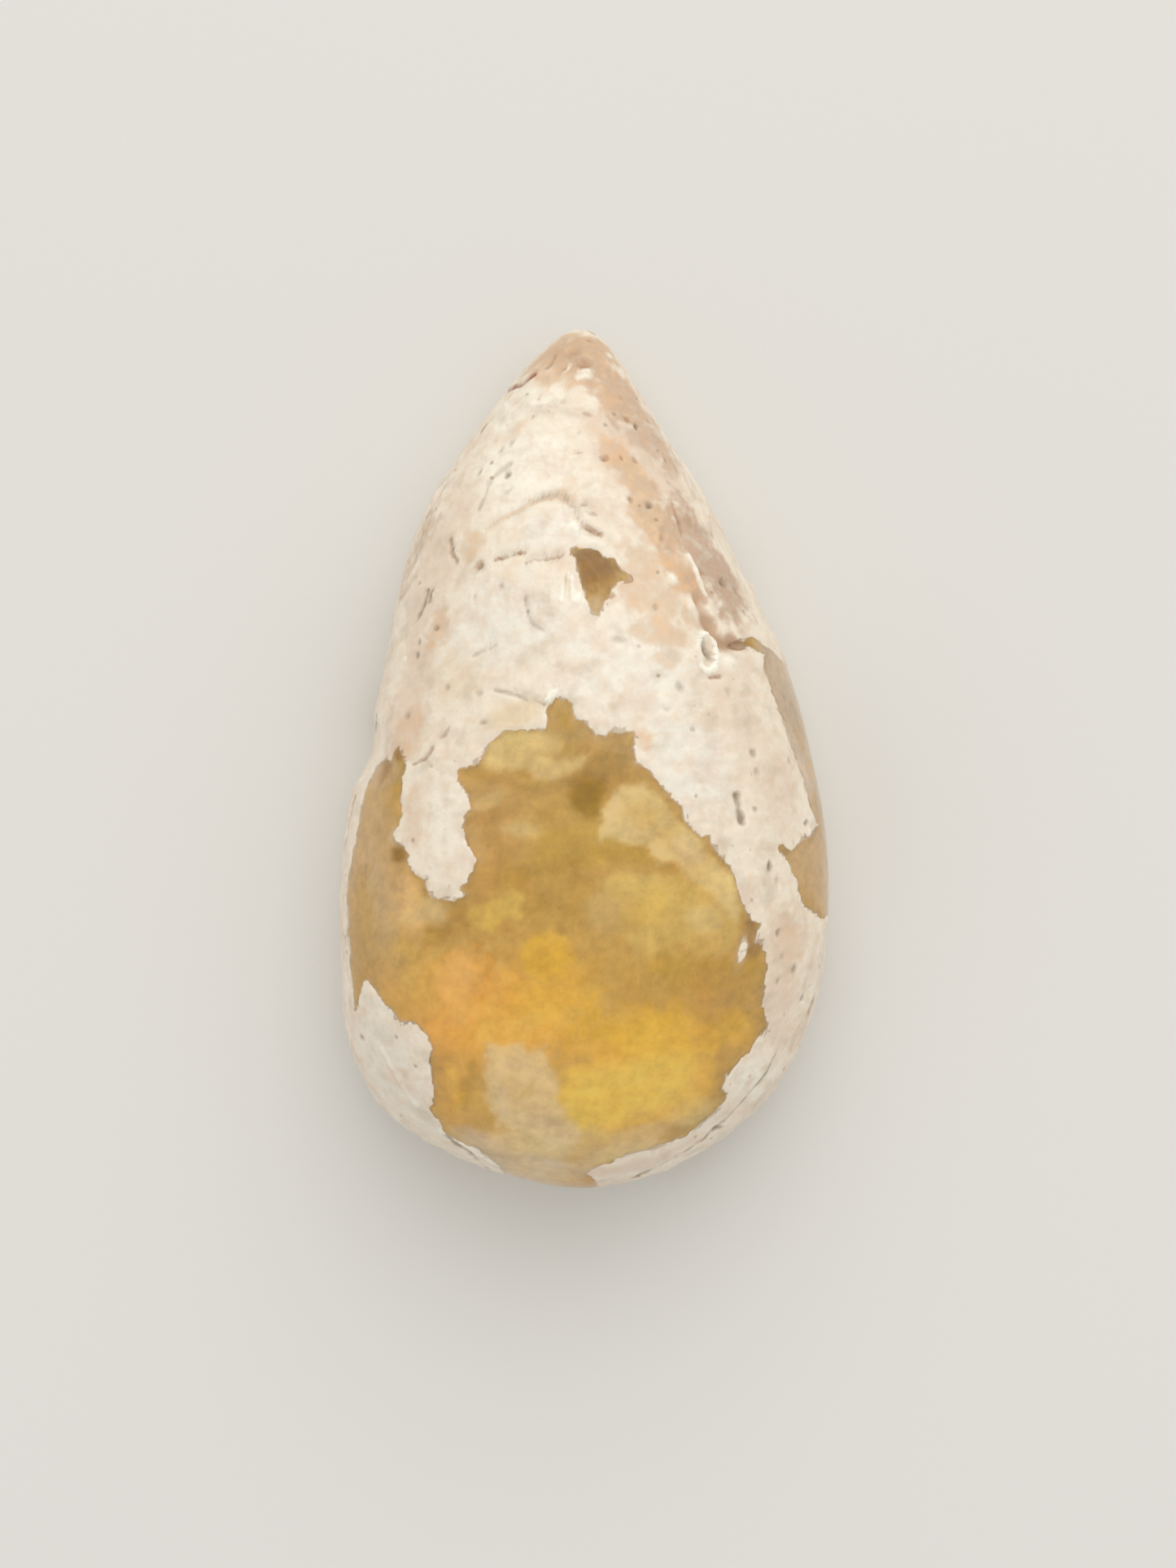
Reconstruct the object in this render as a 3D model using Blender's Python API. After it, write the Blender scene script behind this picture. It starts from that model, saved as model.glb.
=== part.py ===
"""A pear-shaped cantera opal cabochon: one polished stone, domed above and flat below.

The stone lies on its flat back at z = 0, with its pointed end towards +Y and its dome
towards +Z. All sizes below are in millimetres; the scene is in metres.
"""

import math

import bmesh
import bpy
import numpy as np

MM = 0.001
NODE = "cabochon"

# Driving sizes
LENGTH = 20.0
DOME_HEIGHT = 6.8
GIRDLE_HEIGHT = 1.9
TIP_GIRDLE_DROP = 0.35
BACK_SCALE = 0.87

# The outline seen from above, clockwise from the tip, with the middle of the length at y = 0
OUTLINE = [
    (-0.08, 10.00), (0.49, 9.66), (1.16, 8.67), (1.91, 7.46), (2.84, 6.00), (3.45, 4.71),
    (4.23, 3.21), (4.82, 1.77), (5.27, 0.03), (5.59, -1.68), (5.67, -3.19), (5.55, -4.71),
    (5.23, -6.04), (4.57, -7.46), (3.43, -8.65), (1.95, -9.51), (-0.08, -10.00), (-2.26, -9.53),
    (-4.30, -8.50), (-5.22, -7.36), (-5.60, -6.00), (-5.68, -4.33), (-5.67, -2.82), (-5.50, -1.30),
    (-5.17, 0.10), (-4.72, 1.83), (-4.27, 4.16), (-3.58, 6.00), (-2.71, 7.33), (-1.69, 8.75),
    (-0.74, 9.70),
]
CURVE_STEPS = 40

# The dome: its crown, and how full its two cross-sections are
CROWN_Y = -2.9
ACROSS_FULLNESS = 2.15
TOWARDS_TIP_FULLNESS = 1.65
TOWARDS_BASE_FULLNESS = 2.2

# The mesh: turns around the stone, and where its rings change from dome to side to back
AROUND = 120
RINGS = 34
DOME_SHARE = 0.70
SIDE_SHARE = 0.96
SIDE_FULLNESS = 2.4

# Hand-ground waviness of the dome, as (height, waves along x, waves along y, phase)
WAVES = [(0.030, 1.6, 1.1, 0.4), (0.022, 2.7, 1.9, 2.1), (0.016, 3.9, 3.3, 4.0)]
WAVE_LENGTH = 20.0

# Pits, ledges and dents left in the matrix, as (x, y, half width, half length, depth)
HOLLOWS = [
    (0.05, 9.00, 0.42, 0.30, 0.16),
    (2.86, 2.45, 0.28, 0.42, 0.20),
    (5.15, -5.85, 0.34, 0.42, 0.22),
    (0.20, 4.35, 0.60, 0.80, 0.10),
    (-3.70, 3.35, 0.45, 0.75, 0.10),
    (3.50, -1.20, 0.35, 0.60, 0.08),
    (-1.30, 5.20, 0.90, 0.22, 0.07),
]

# The step in the left side, where the matrix ends and the opal bulges past it
STEP_PLACE = (-5.10, 0.35)
STEP_DEPTH = 0.17
STEP_REACH = 0.60

STONE_COLOUR = (0.84, 0.78, 0.68, 1.0)


def clear_scene():
    for obj in list(bpy.data.objects):
        bpy.data.objects.remove(obj, do_unlink=True)


def smooth_outline():
    """The outline as evenly spaced points on a closed smooth curve through OUTLINE."""
    corners = np.array(OUTLINE)
    before = np.roll(corners, 1, axis=0)
    after = np.roll(corners, -1, axis=0)
    beyond = np.roll(corners, -2, axis=0)
    share = np.linspace(0.0, 1.0, CURVE_STEPS, endpoint=False)[None, :, None]
    curve = 0.5 * (
        2.0 * corners[:, None]
        + (after - before)[:, None] * share
        + (2.0 * before - 5.0 * corners + 4.0 * after - beyond)[:, None] * share**2
        + (3.0 * corners - before - 3.0 * after + beyond)[:, None] * share**3
    ).reshape(-1, 2)
    curve = np.roll(curve, -int(np.argmax(curve[:, 1])), axis=0)
    closed = np.vstack([curve, curve[:1]])
    run = np.concatenate([[0.0], np.cumsum(np.hypot(*np.diff(closed, axis=0).T))])
    return closed, run


CURVE, RUN = smooth_outline()
CENTRE = np.array([0.0, -1.2])
BOTTOM = int(np.argmin(CURVE[:, 1]))


def rim_point(turn):
    """The outline's point at a share of the way round, clockwise from the tip."""
    distance = turn * RUN[-1]
    return np.array([np.interp(distance, RUN, CURVE[:, axis]) for axis in (0, 1)])


def sides_at(y):
    """The outline's left and right edge at a height y."""
    right = CURVE[:BOTTOM + 1]
    left = CURVE[BOTTOM:]
    x_right = np.interp(-y, -right[:, 1], right[:, 0])
    x_left = np.interp(y, left[:, 1], left[:, 0])
    return x_left, x_right


def bump(distance):
    """A soft round bump: 1 in the middle and 0 beyond a distance of 1."""
    return max(0.0, 1.0 - distance**2) ** 2


def girdle_height(y):
    towards_tip = max(0.0, y) / (LENGTH / 2.0)
    return GIRDLE_HEIGHT - TIP_GIRDLE_DROP * towards_tip


def waves(x, y):
    turn = 2.0 * math.pi / WAVE_LENGTH
    return sum(
        height * math.sin(along_x * turn * x + phase) * math.cos(along_y * turn * y - phase)
        for height, along_x, along_y, phase in WAVES
    )


def hollows(x, y):
    return sum(
        depth * bump(math.hypot((x - x0) / half_width, (y - y0) / half_length))
        for x0, y0, half_width, half_length, depth in HOLLOWS
    )


def dome_height(x, y):
    """The polished dome's height above the girdle, before pits and waviness."""
    x_left, x_right = sides_at(y)
    middle = (x_left + x_right) / 2.0
    half_width = max((x_right - x_left) / 2.0, 1e-6)
    across = min(abs(x - middle) / half_width, 1.0)
    if y > CROWN_Y:
        along = (y - CROWN_Y) / (CURVE[0, 1] - CROWN_Y)
        fullness = TOWARDS_TIP_FULLNESS
    else:
        along = (CROWN_Y - y) / (CROWN_Y - CURVE[BOTTOM, 1])
        fullness = TOWARDS_BASE_FULLNESS
    ridge = (1.0 - min(along, 1.0) ** fullness) ** (1.0 / fullness)
    section = (1.0 - across**ACROSS_FULLNESS) ** (1.0 / ACROSS_FULLNESS)
    return (DOME_HEIGHT - GIRDLE_HEIGHT) * ridge * section


def step_in(x, y, z):
    """How far a point moves in where the step in the left side is, fading out towards the back."""
    reach = math.hypot(x - STEP_PLACE[0], y - STEP_PLACE[1]) / STEP_REACH
    return STEP_DEPTH * bump(reach) * min(1.0, z / GIRDLE_HEIGHT)


def dome_point(ring, rim):
    """A point of the dome: ring runs from 0 at the crown to 1 at the girdle."""
    swing = ring * math.pi / 2.0
    share = math.sin(swing) ** (2.0 / ACROSS_FULLNESS)
    x, y = CENTRE + share * (rim - CENTRE)
    above = dome_height(x, y) if ring < 1.0 else 0.0
    fade = 1.0 - share**4
    z = girdle_height(y) + above + (waves(x, y) - hollows(x, y)) * fade
    return x, y, z


def side_point(ring, rim):
    """A point of the side below the girdle: ring runs from 0 at the girdle to 1 at the back."""
    swing = ring * math.pi / 2.0
    inward = 1.0 - math.cos(swing) ** (2.0 / SIDE_FULLNESS)
    fall = math.sin(swing) ** (2.0 / SIDE_FULLNESS)
    share = 1.0 - (1.0 - BACK_SCALE) * inward
    x, y = CENTRE + share * (rim - CENTRE)
    return x, y, girdle_height(rim[1]) * (1.0 - fall)


def back_point(share, rim):
    """A point of the flat back: share runs from 1 at its edge to 0 in its middle."""
    x, y = CENTRE + BACK_SCALE * share * (rim - CENTRE)
    return x, y, 0.0


def stone_point(direction):
    """Where a point of the unit sphere goes on the stone."""
    turn = (math.atan2(direction.x, direction.y) / (2.0 * math.pi)) % 1.0
    rim = rim_point(turn)
    down = math.acos(max(-1.0, min(1.0, direction.z))) / math.pi
    if down <= DOME_SHARE:
        point = dome_point(down / DOME_SHARE, rim)
    elif down <= SIDE_SHARE:
        point = side_point((down - DOME_SHARE) / (SIDE_SHARE - DOME_SHARE), rim)
    else:
        point = back_point((1.0 - down) / (1.0 - SIDE_SHARE), rim)
    x, y, z = point
    return (x + step_in(x, y, z)) * MM, y * MM, z * MM


def material(name, colour, roughness):
    made = bpy.data.materials.new(name)
    made.use_nodes = True
    shader = made.node_tree.nodes["Principled BSDF"]
    shader.inputs["Base Color"].default_value = colour
    shader.inputs["Roughness"].default_value = roughness
    shader.inputs["Metallic"].default_value = 0.0
    return made


def make_stone(collection):
    mesh = bpy.data.meshes.new(NODE)
    form = bmesh.new()
    bmesh.ops.create_uvsphere(form, u_segments=AROUND, v_segments=RINGS, radius=1.0)
    for vert in form.verts:
        vert.co = stone_point(vert.co)
    flat_back = [face for face in form.faces if all(v.co.z < 1e-9 for v in face.verts)]
    bmesh.ops.dissolve_faces(form, faces=flat_back, use_verts=True)
    bmesh.ops.recalc_face_normals(form, faces=form.faces)
    form.to_mesh(mesh)
    form.free()
    stone = bpy.data.objects.new(NODE, mesh)
    collection.objects.link(stone)
    stone.data.materials.append(material("rhyolite", STONE_COLOUR, 0.35))
    return stone


def main():
    clear_scene()
    collection = bpy.data.collections.new("Cantera opal cabochon")
    bpy.context.scene.collection.children.link(collection)
    make_stone(collection)


main()
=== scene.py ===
"""The looks of a pear-shaped cantera opal cabochon: cream volcanic matrix with see-through opal in it.

Two pieces stand in for the CAD part. "matrix" is the opaque rock, with pockets sunk into it.
"opal" is the clear honey-coloured opal, polished flush with the rock where it shows.
Lengths are in millimetres, and places on the stone are columns and rows of the photograph, unless a
comment says otherwise. The scene itself is in metres.
"""

import math

import bmesh
import bpy
import numpy as np
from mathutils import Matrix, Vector, noise


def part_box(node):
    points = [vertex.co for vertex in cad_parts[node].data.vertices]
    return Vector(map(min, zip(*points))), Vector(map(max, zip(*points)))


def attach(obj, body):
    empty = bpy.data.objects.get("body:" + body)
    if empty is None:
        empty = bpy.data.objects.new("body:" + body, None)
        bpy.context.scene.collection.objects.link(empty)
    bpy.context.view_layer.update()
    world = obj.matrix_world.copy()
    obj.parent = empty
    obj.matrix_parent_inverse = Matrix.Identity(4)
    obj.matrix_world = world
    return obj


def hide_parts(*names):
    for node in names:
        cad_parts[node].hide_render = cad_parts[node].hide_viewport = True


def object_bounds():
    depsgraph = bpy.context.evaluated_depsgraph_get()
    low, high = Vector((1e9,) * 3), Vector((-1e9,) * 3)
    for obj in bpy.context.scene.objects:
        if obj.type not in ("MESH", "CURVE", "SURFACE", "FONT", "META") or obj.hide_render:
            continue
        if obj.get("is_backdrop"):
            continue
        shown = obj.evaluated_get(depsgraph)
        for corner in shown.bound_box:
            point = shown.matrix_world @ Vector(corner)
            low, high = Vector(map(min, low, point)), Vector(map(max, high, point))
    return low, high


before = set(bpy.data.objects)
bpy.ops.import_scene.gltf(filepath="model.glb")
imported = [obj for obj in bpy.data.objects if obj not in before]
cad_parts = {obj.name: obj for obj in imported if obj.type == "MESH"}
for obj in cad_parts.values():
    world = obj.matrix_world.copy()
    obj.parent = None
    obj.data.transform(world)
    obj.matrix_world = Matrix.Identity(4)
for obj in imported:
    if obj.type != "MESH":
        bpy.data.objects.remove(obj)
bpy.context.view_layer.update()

MM = 0.001
NODE = "cabochon"
LOW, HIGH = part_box(NODE)
LENGTH = (HIGH.y - LOW.y) / MM
DOME_HEIGHT = (HIGH.z - LOW.z) / MM

# The stone's form, as in the CAD part but for its hollows, which are marks here, and the step in its
# left side, which is deeper and wider
GIRDLE_HEIGHT = 1.9
TIP_GIRDLE_DROP = 0.35
BACK_SCALE = 0.87
OUTLINE = [
    (-0.08, 10.00), (0.49, 9.66), (1.16, 8.67), (1.91, 7.46), (2.84, 6.00), (3.45, 4.71),
    (4.23, 3.21), (4.82, 1.77), (5.27, 0.03), (5.59, -1.68), (5.67, -3.19), (5.55, -4.71),
    (5.23, -6.04), (4.57, -7.46), (3.43, -8.65), (1.95, -9.51), (-0.08, -10.00), (-2.26, -9.53),
    (-4.30, -8.50), (-5.22, -7.36), (-5.60, -6.00), (-5.68, -4.33), (-5.67, -2.82), (-5.50, -1.30),
    (-5.17, 0.10), (-4.72, 1.83), (-4.27, 4.16), (-3.58, 6.00), (-2.71, 7.33), (-1.69, 8.75),
    (-0.74, 9.70),
]
CURVE_STEPS = 60
CROWN_Y = -2.9
CENTRE = np.array([0.0, -1.2])
ACROSS_FULLNESS = 2.15
TOWARDS_TIP_FULLNESS = 1.65
TOWARDS_BASE_FULLNESS = 2.2
SIDE_FULLNESS = 2.4
WAVES = [(0.030, 1.6, 1.1, 0.4), (0.022, 2.7, 1.9, 2.1), (0.016, 3.9, 3.3, 4.0)]
WAVE_LENGTH = 20.0
STEP_PLACE = (-5.15, 0.15)
STEP_DEPTH = 0.22
STEP_REACH = 1.00

# The sheets wrapped around the stone: cells across, and where the dome and side end on them
MATRIX_CELLS = ((240, 400))
OPAL_CELLS = ((130, 216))
DOME_REACH = 0.80
SIDE_REACH = 0.94
BACK_HOLE = 0.35
DOME_CROWDING = 1.15

# The photograph: its scale, its middle in columns and rows, and the point of the stone seen there
MM_PER_PIXEL = 0.01896
PHOTO_ROWS = 1927
PHOTO_MIDDLE = (722.5, 963.5)
AIM = (0.066, -0.607)
CAMERA_LENS = 100.0
SENSOR = 36.0
CAMERA_DISTANCE = PHOTO_ROWS * MM_PER_PIXEL * CAMERA_LENS / SENSOR

# The soft window: its place and discs laid over one another in metres, as (size, power), then the sky
WINDOW_PLACE = (0.03, 0.19, 0.20)
WINDOW_LAYERS = [(0.26, 0.21), (0.42, 0.22), (0.60, 0.23)]
WINDOW_COLOUR = (1.0, 0.98, 0.95)
SKY_COLOUR = (1.0, 0.985, 0.965, 1.0)
SKY_STRENGTH = 0.71
PAPER = (226, 225, 221)

# Edges of the opal, in millimetres: how far the rock stands proud of it and how fast it rises, how
# far the opal lies hidden under the rock, how deep a pocket is just past its edge and how far that
# and its full depth are from the edge, and how much pale haze shows there and how far in
PROUD = 0.008
EDGE_SLOPE = 0.20
HIDDEN = 0.16
SHALLOW = 0.05
EDGE_WIDTH = 0.10
POCKET_RAMP = 1.5
EDGE_HAZE = 0.28
EDGE_FADE = 0.16

# How far noise moves the opal's edge, in pixels, as (where level, more where steep), for fine, coarse
# and broad noise, then for the edge of a rock island, and the least that a slope shortens distances to
EDGE_WOBBLE = [(3.2, 2.0), (2.6, 7.0), (0.0, 8.0)]
ISLAND_WOBBLE = 1.5
LEAST_UPRIGHT = 0.3

# The opal under the rock, by millimetres from its edge: where it sinks to its hidden depth, where it
# follows the rock's pits and how many times their depth it goes, and how far it stays above the back
SINKING = (0.10, 0.30)
PIT_REACH = (0.05, 0.2)
PIT_SHARE = 1.3
ABOVE_BACK = 0.1

# The rock's relief, as shares of broad, coarse and fine noise, and how far from the opal it is full
RELIEF = (0.024, 0.034, 0.010)
RELIEF_REACH = 0.08

# The pocket's depth, in the same shares: how noise changes it and moves the edges of its ovals and
# its clouds, and how far from a cloud's outline its depth is reached, in pixels
DEPTH_CHANGE = (0.12, 0.06, 0.0)
DEPTH_WOBBLE = (0.0, 0.16, 0.07)
CLOUD_DEPTH_WOBBLE = (0.0, 3.0, 0.0)
CLOUD_SLOPE = 32.0

# The opal's colours: how noise moves the edges of clouds, in pixels, and changes their strength, how
# it changes the brightness of all colours, and that brightness
CLOUD_WOBBLE = (0.0, 7.0, 2.0)
CLOUD_CHANGE = 0.35
MOTTLE = (0.06, 0.09, 0.07)
BRIGHTNESS = 1.03

# Soft patches: where they fade, counted so that 1 is their edge, and how far noise moves that
PATCH_FADE = (0.45, 1.25)
TONE_WOBBLE = 0.26
ROCK_WOBBLE = 0.35

# Lines and spots: where their height fades, counted from 1 in their middle to 0 at their edge, and how
# far noise moves that. Then how far up the skin faces where pockets turn from square to it to straight
# down.
MARK_FADE = (-0.35, 0.8)
MARK_WOBBLE = 0.15
UPRIGHT = (0.25, 0.65)

# How the opal takes in light: its absorption colour and density, how far light goes in it for each
# millimetre of depth, the shares that its surface turns back and lets in, the gloss seen on top of its
# colours, and the palest that the rock under it can be
OPAL_CLEARNESS = (0.98, 0.78, 0.16)
OPAL_DENSITY = 1000.0
LIGHT_PATH = 2.6
TURNED_BACK = 0.44
LET_IN = 0.97
SURFACE_GLOSS = 0.036
FLOOR_MOST = 0.99

# Outlines of the opal that shows, clockwise. Past the stone's rim they run on down its side,
# as if the side were rolled out flat around the photograph.
MAIN_OPAL = [
    (683, 857), (700, 862), (705, 875), (706, 884), (718, 885), (725, 894), (733, 905), (742, 905),
    (750, 898), (760, 896), (770, 900), (780, 898), (779, 922), (780, 940), (790, 942), (798, 946),
    (804, 955), (815, 970), (828, 981), (839, 994), (843, 1007), (852, 1022), (863, 1029),
    (873, 1024), (873, 1035), (880, 1042), (889, 1054), (896, 1063), (900, 1075), (905, 1091),
    (911, 1107), (918, 1118), (924, 1130), (935, 1136), (932, 1148), (936, 1160), (940, 1170),
    (942, 1185), (940, 1200), (938, 1220), (936, 1240), (946, 1261), (937, 1274), (929, 1278),
    (918, 1294), (905, 1301), (898, 1314), (890, 1328), (885, 1338), (893, 1343), (892, 1352),
    (880, 1366), (865, 1380), (845, 1394), (815, 1408), (785, 1416), (755, 1424), (738, 1430),
    (722, 1442), (735, 1458), (730, 1480), (712, 1492), (703, 1514), (686, 1520), (673, 1500),
    (655, 1502), (641, 1484), (634, 1463), (626, 1447), (612, 1433), (598, 1423), (580, 1410),
    (560, 1399), (545, 1390), (541, 1377), (531, 1364), (536, 1348), (532, 1329), (528, 1308),
    (532, 1289), (526, 1274), (515, 1261), (504, 1255), (491, 1257), (480, 1242), (468, 1225),
    (452, 1203), (443, 1215), (437, 1242), (434, 1220), (431, 1190), (427, 1150), (426, 1110),
    (427, 1080), (432, 1058), (438, 1030), (443, 1000), (449, 975), (453, 962), (462, 945),
    (474, 932), (481, 940), (484, 925), (490, 916), (497, 930), (498, 945), (494, 960), (492, 980),
    (493, 1000), (490, 1015), (484, 1022), (486, 1033), (496, 1040), (502, 1052), (500, 1063),
    (511, 1074), (524, 1090), (531, 1101), (545, 1106), (561, 1106), (571, 1100), (564, 1091),
    (574, 1081), (581, 1070), (589, 1057), (579, 1044), (572, 1030), (567, 1013), (572, 1003),
    (579, 995), (576, 979), (567, 966), (562, 952), (563, 944), (583, 941), (591, 930),
    (598, 917), (607, 908), (618, 899), (640, 898), (668, 898), (675, 888), (672, 870),
]
SMALL_HOLE = [
    (702, 673), (718, 674), (734, 676), (741, 685), (754, 688), (761, 697), (771, 706), (774, 713),
    (759, 715), (753, 724), (750, 737), (742, 744), (736, 759), (726, 752), (722, 740), (716, 722),
    (711, 704), (707, 690),
]
RIGHT_WINDOW = [
    (904, 792), (920, 782), (934, 790), (950, 800),
    (970, 826), (982, 850), (996, 872), (1006, 890), (1000, 905), (1018, 922), (1046, 938),
    (1052, 956), (1030, 972), (1018, 986), (1030, 1002), (1060, 1014), (1078, 1034), (1070, 1056),
    (1046, 1068), (1052, 1086), (1044, 1100), (1026, 1112), (1020, 1122), (1012, 1128),
    (1000, 1124), (986, 1110), (980, 1085), (970, 1060), (959, 1050), (957, 1034), (972, 1047),
    (985, 1031), (998, 1025), (1004, 1012), (995, 985), (985, 950), (976, 930), (970, 910),
    (960, 880), (950, 850), (941, 822), (938, 806), (922, 796),
]
LEFT_FLANK = [
    (372, 800), (392, 812), (404, 836), (398, 862), (408, 884), (396, 902), (378, 894), (372, 872),
    (356, 858), (352, 832), (362, 818),
]
BASE_FLANK = [
    (830, 1498), (852, 1488), (878, 1496), (900, 1484), (916, 1494), (908, 1514), (884, 1524),
    (872, 1542), (846, 1538), (838, 1518),
]
OPAL_OUTLINES = [MAIN_OPAL, SMALL_HOLE, RIGHT_WINDOW, LEFT_FLANK, BASE_FLANK]

# Rock left standing inside the opal: (column, row, half width, half height, tilt in degrees). In the
# lists after this one an oval has no tilt where it is upright.
ROCK_ISLANDS = [
    (912, 1168, 5, 15, 14),
    (936, 1146, 5, 14, 28),
    (1036, 1038, 8, 13, 25),
    (1020, 946, 7, 10, -20),
]

# How deep the opal is: its usual depth, then ovals that change it, as
# (column, row, half width, half height, tilt in degrees, depth, how soft the edge is)
USUAL_DEPTH = 0.56
CLOUD_DEPTH = 0.42
DEPTHS = [
    (640, 915, 80, 50, 0.45, 1.6),
    (610, 1120, 54, 40, 0.46, 1.6),
    (678, 1168, 50, 46, 0.46, 1.6),
    (563, 1204, 44, 56, -6, 0.14, 1.8),
    (504, 1112, 30, 62, -12, 0.12, 1.7),
    (660, 1440, 130, 60, 0.32, 1.6),
    (575, 1335, 34, 60, 10, 0.46, 1.6),
    (780, 1345, 110, 70, 0.40, 1.6),
    (436, 1080, 66, 190, 0.38, 1.7),
    (735, 700, 40, 60, 0.50, 1.0),
    (960, 880, 30, 130, -15, 0.22, 0.8),
    (1000, 1080, 40, 70, 0.30, 0.8),
]

# Colours of the rock, as named from the photograph: red, green and blue from 0 to 255
CREAM = (240, 228, 208)
CHALK = (247, 241, 224)
COOL_CHALK = (238, 233, 219)
PINK_BEIGE = (226, 204, 182)
TAN = (217, 184, 148)
ORANGE_TAN = (222, 176, 128)
BROWN = (168, 130, 98)
PURPLE_BROWN = (184, 153, 128)
NECK_BROWN = (190, 156, 124)
RUST = (152, 86, 58)
GREY = (150, 133, 110)
DARK = (104, 84, 62)
# A cooler, slightly darker white: painted shade on the stone's lower side and rim
LOWER_SHADE_WHITE = (234, 226, 210)
HONEY_HAZE = (224, 200, 158)
# Near white, for painted highlights and glints on raised beads, flecks and rims that are pale themselves
GLINT_WHITE = (255, 252, 236)
WARM_GREY = (202, 187, 164)

# Colours of the opal as seen from in front
HONEY = (202, 161, 88)
TOP_GOLD = (232, 204, 132)
KHAKI = (234, 204, 130)
LIGHT_KHAKI = (246, 218, 142)
DEEP_KHAKI = (216, 182, 100)
AMBER = (199, 160, 95)
MID_GOLD = (188, 150, 78)
DARK_OLIVE = (176, 143, 80)
OLIVE = (156, 124, 58)
BAND_GOLD = (198, 158, 84)
OLIVE_GOLD = (192, 156, 74)
GREEN_GOLD = (228, 196, 98)
YELLOW = (240, 186, 74)
BRIGHT_YELLOW = (255, 206, 94)
ORANGE = (250, 182, 86)
SOFT_ORANGE = (226, 176, 92)
FIRE = (255, 190, 104)
PEACH = (255, 206, 134)
DARK_AMBER = (198, 158, 74)
DEEP_AMBER = (162, 119, 58)
CLOUD = (236, 206, 142)
HAZE = (228, 204, 160)
PINK_HAZE = (222, 203, 178)
TAN_OPAL = (212, 177, 128)
DULL_TAN = (213, 176, 122)
PALE_TAN = (222, 198, 160)
HOLE_BROWN = (150, 109, 48)
RIM_TAN = (206, 184, 158)
RIM_PALE = (224, 204, 182)

# How stained the rock is where no stain is given, enough for a few grains
USUAL_STAIN = 0.26

# Soft changes of the rock's colour, and painted shade low on the stone, painted in order:
# (column, row, half width, half height, tilt in degrees, colour, strength)
TINTS = [
    (700, 440, 75, 45, PINK_BEIGE, 0.8),
    (640, 500, 60, 36, -30, CHALK, 0.8),
    (640, 570, 60, 60, CHALK, 0.8),
    (780, 560, 60, 110, -28, PINK_BEIGE, 0.75),
    (680, 650, 60, 30, COOL_CHALK, 0.6),
    (620, 760, 90, 60, COOL_CHALK, 0.7),
    (770, 830, 110, 70, 10, COOL_CHALK, 0.6),
    (850, 940, 60, 70, -40, COOL_CHALK, 0.8),
    (900, 870, 50, 90, -20, PINK_BEIGE, 0.45),
    (950, 960, 40, 60, -20, PINK_BEIGE, 0.5),
    (500, 860, 40, 100, 14, PINK_BEIGE, 0.8),
    (530, 700, 40, 110, 18, PINK_BEIGE, 0.6),
    (560, 840, 34, 36, HONEY_HAZE, 0.30),
    (628, 880, 52, 20, -6, HONEY_HAZE, 0.65),
    (545, 1000, 34, 80, CHALK, 0.4),
    # Painted shade: cooler, darker white on the lower left and its rim
    (470, 1300, 60, 90, -30, LOWER_SHADE_WHITE, 0.9),
    (540, 1385, 50, 24, 35, LOWER_SHADE_WHITE, 0.8),
    (960, 1200, 40, 100, -4, PINK_BEIGE, 0.8),
    (925, 1330, 46, 40, 40, CHALK, 0.8),
    # Painted shade: cooler, darker white along the lower rim
    (900, 1420, 90, 14, -38, LOWER_SHADE_WHITE, 0.9),
    (780, 1432, 90, 16, -10, PINK_BEIGE, 0.7),
]

# Stains that break up into grains at their edges, given in the same way
STAINS = [
    (705, 436, 80, 60, TAN, 0.95),
    (716, 430, 60, 40, BROWN, 0.50),
    (756, 480, 50, 76, -35, TAN, 0.95),
    (790, 520, 46, 120, -30, PURPLE_BROWN, 0.72),
    (752, 488, 8, 7, ORANGE_TAN, 0.9),
    (755, 552, 18, 28, -30, ORANGE_TAN, 0.85),
    (780, 590, 26, 54, -35, TAN, 0.95),
    (808, 640, 40, 60, -25, TAN, 1.0),
    (800, 715, 56, 76, -20, TAN, 0.72),
    (838, 705, 34, 50, -20, ORANGE_TAN, 0.90),
    (846, 755, 14, 34, -10, TAN, 0.75),
    (856, 672, 46, 84, -30, PURPLE_BROWN, 0.85),
    (890, 716, 52, 66, -30, PURPLE_BROWN, 0.90),
    (838, 620, 14, 46, -25, BROWN, 0.62),
    (898, 786, 36, 13, 6, PURPLE_BROWN, 1.0),
    (868, 762, 16, 22, -20, PURPLE_BROWN, 0.9),
    (812, 775, 44, 36, TAN, 0.74),
    (815, 810, 28, 16, 20, TAN, 0.60),
    (580, 668, 28, 26, 20, TAN, 0.66),
    (522, 655, 34, 60, 28, BROWN, 0.52),
    (500, 705, 38, 56, 20, PURPLE_BROWN, 0.55),
    (540, 775, 24, 36, 20, TAN, 0.70),
    (498, 905, 40, 44, 20, TAN, 0.70),
    (508, 1000, 20, 50, TAN, 0.50),
    (520, 1085, 14, 12, 30, TAN, 0.60),
    (792, 912, 13, 26, -10, ORANGE_TAN, 0.62),
    (750, 845, 30, 12, 10, TAN, 0.40),
    (975, 1145, 50, 60, TAN, 0.55),
    (690, 608, 30, 12, 10, TAN, 0.55),
    (985, 1260, 50, 50, TAN, 0.50),
    (1060, 1220, 60, 40, 30, TAN, 0.62),
    (380, 1000, 50, 90, TAN, 0.60),
    (430, 800, 60, 50, 20, BROWN, 0.56),
    (560, 1490, 80, 50, 20, TAN, 0.60),
    (960, 1440, 60, 40, -40, PURPLE_BROWN, 0.58),
    (930, 640, 40, 80, -25, TAN, 0.62),
    (640, 400, 60, 50, TAN, 0.60),
]

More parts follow.
